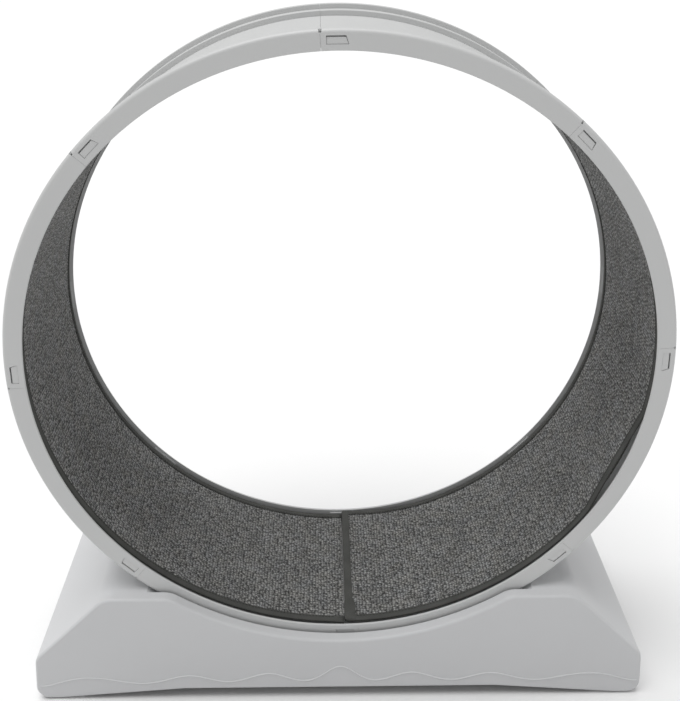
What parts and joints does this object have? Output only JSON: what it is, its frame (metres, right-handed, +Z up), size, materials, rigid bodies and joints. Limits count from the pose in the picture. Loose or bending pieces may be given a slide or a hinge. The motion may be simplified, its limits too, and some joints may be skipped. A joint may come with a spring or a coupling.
{
  "type": "cat exercise wheel",
  "caption": "Running wheel for a cat: a wide carpet-lined drum of snapped plastic segments that spins on rollers in a low moulded cradle base.",
  "frame": {"origin": "on the floor, under the middle of the wheel and of the base", "axes": "+Z up, +Y from the front lip to the back lip along the wheel's axis, +X to the right seen from the front"},
  "size_m": [1.0014, 0.362, 1.0975],
  "materials": {
    "wheel_plastic": "fine satin moulding",
    "base_plastic": "fine satin moulding",
    "carpet": "looped grey carpet",
    "binding": "woven tape",
    "cradle_plastic": "moulded black",
    "hub_plastic": "moulded",
    "tyre_rubber": "soft rubber",
    "steel": "ground",
    "foot_rubber": "soft rubber"
  },
  "bodies": {
    "base": {"base_shell": "base_plastic", "roller_cradle_front_left": "cradle_plastic", "roller_axle_front_left": "steel", "rubber_foot_front_left": "foot_rubber", "roller_cradle_front_right": "cradle_plastic", "roller_axle_front_right": "steel", "rubber_foot_front_right": "foot_rubber", "roller_cradle_rear_left": "cradle_plastic", "roller_axle_rear_left": "steel", "rubber_foot_rear_left": "foot_rubber", "roller_cradle_rear_right": "cradle_plastic", "roller_axle_rear_right": "steel", "rubber_foot_rear_right": "foot_rubber", "cradle_screws": "steel"},
    "wheel": {"wheel_segment_1": "wheel_plastic", "wheel_segment_2": "wheel_plastic", "wheel_segment_3": "wheel_plastic", "wheel_segment_4": "wheel_plastic", "wheel_segment_5": "wheel_plastic", "wheel_segment_6": "wheel_plastic", "wheel_segment_7": "wheel_plastic", "wheel_segment_8": "wheel_plastic", "carpet_mat": "carpet", "carpet_binding": "binding"},
    "roller_front_left": {"roller_tyre_front_left": "tyre_rubber", "roller_hub_front_left": "hub_plastic", "roller_bearing_front_left": "steel"},
    "roller_front_right": {"roller_tyre_front_right": "tyre_rubber", "roller_hub_front_right": "hub_plastic", "roller_bearing_front_right": "steel"},
    "roller_rear_left": {"roller_tyre_rear_left": "tyre_rubber", "roller_hub_rear_left": "hub_plastic", "roller_bearing_rear_left": "steel"},
    "roller_rear_right": {"roller_tyre_rear_right": "tyre_rubber", "roller_hub_rear_right": "hub_plastic", "roller_bearing_rear_right": "steel"}
  },
  "joints": [
    {"name": "wheel_spin", "type": "hinge", "parent": "base", "child": "wheel", "pos_m": [0, 0, 0.5975], "axis": [0, 1, 0], "continuous": true},
    {"name": "roller_spin_front_left", "type": "hinge", "parent": "base", "child": "roller_front_left", "pos_m": [-0.25615, -0.132, 0.15383], "axis": [0, 1, 0], "continuous": true},
    {"name": "roller_spin_front_right", "type": "hinge", "parent": "base", "child": "roller_front_right", "pos_m": [0.25615, -0.132, 0.15383], "axis": [0, 1, 0], "continuous": true},
    {"name": "roller_spin_rear_left", "type": "hinge", "parent": "base", "child": "roller_rear_left", "pos_m": [-0.25615, 0.132, 0.15383], "axis": [0, 1, 0], "continuous": true},
    {"name": "roller_spin_rear_right", "type": "hinge", "parent": "base", "child": "roller_rear_right", "pos_m": [0.25615, 0.132, 0.15383], "axis": [0, 1, 0], "continuous": true}
  ],
  "couplings": [
    {"joint": "roller_spin_front_left", "follows": "wheel_spin", "ratio": -24.6},
    {"joint": "roller_spin_front_right", "follows": "wheel_spin", "ratio": -24.6},
    {"joint": "roller_spin_rear_left", "follows": "wheel_spin", "ratio": -24.6},
    {"joint": "roller_spin_rear_right", "follows": "wheel_spin", "ratio": -24.6}
  ]
}
